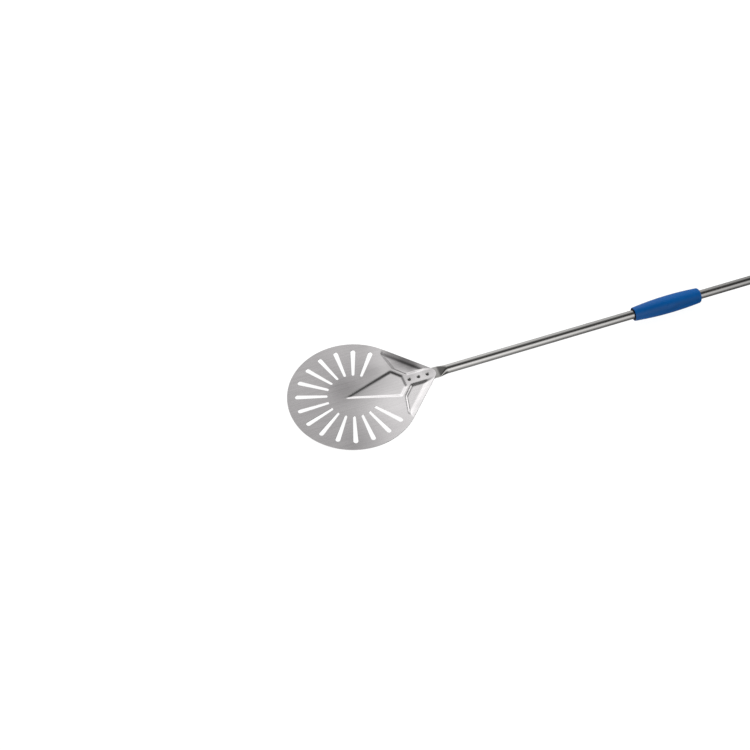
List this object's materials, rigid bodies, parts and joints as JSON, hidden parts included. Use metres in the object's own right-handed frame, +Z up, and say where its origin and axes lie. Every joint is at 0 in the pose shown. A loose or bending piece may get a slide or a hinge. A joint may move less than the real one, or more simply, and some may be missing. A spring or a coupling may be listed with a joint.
{
  "type": "pizza peel",
  "caption": "Turning pizza peel with a round slotted metal head, a slim tube handle, a grip that slides and spins along it, and a fixed end grip.",
  "frame": {"origin": "centre of the round head, on its underside", "axes": "+X along the handle, away from the head; +Z up, out of the food side of the head; +Y to the left when looking along +X"},
  "size_m": [0.9842, 0.2, 0.0285],
  "materials": {
    "head_steel": "brushed sheet, lightly scratched from use on stone",
    "tube_steel": "bright drawn tube, faint lengthwise lines",
    "rivet_metal": "satin",
    "mandrel_steel": "broken, dull",
    "slider_blue": "satin moulded",
    "bush_black": "matte moulded",
    "handle_blue": "satin moulded",
    "plug_grey": "matte moulded",
    "screw_steel": "bright zinc"
  },
  "bodies": {
    "peel": {"blade": "head_steel", "handle_tube": "tube_steel", "rivet_1": "rivet_metal", "rivet_2": "rivet_metal", "rivet_3": "rivet_metal", "rivet_1_mandrel": "mandrel_steel", "rivet_2_mandrel": "mandrel_steel", "rivet_3_mandrel": "mandrel_steel", "end_grip": "handle_blue", "tube_plug": "plug_grey", "end_grip_screw": "screw_steel"},
    "grip_bushes": {"front_bush": "bush_black", "rear_bush": "bush_black"},
    "sliding_grip": {"sliding_grip": "slider_blue"}
  },
  "joints": [
    {"name": "grip_slide", "type": "slide", "parent": "peel", "child": "grip_bushes", "axis": [1, 0, 0], "range_m": [-0.31, 0.183]},
    {"name": "grip_spin", "type": "hinge", "parent": "grip_bushes", "child": "sliding_grip", "pos_m": [0.531, 0, -0.001], "axis": [1, 0, 0], "continuous": true}
  ]
}
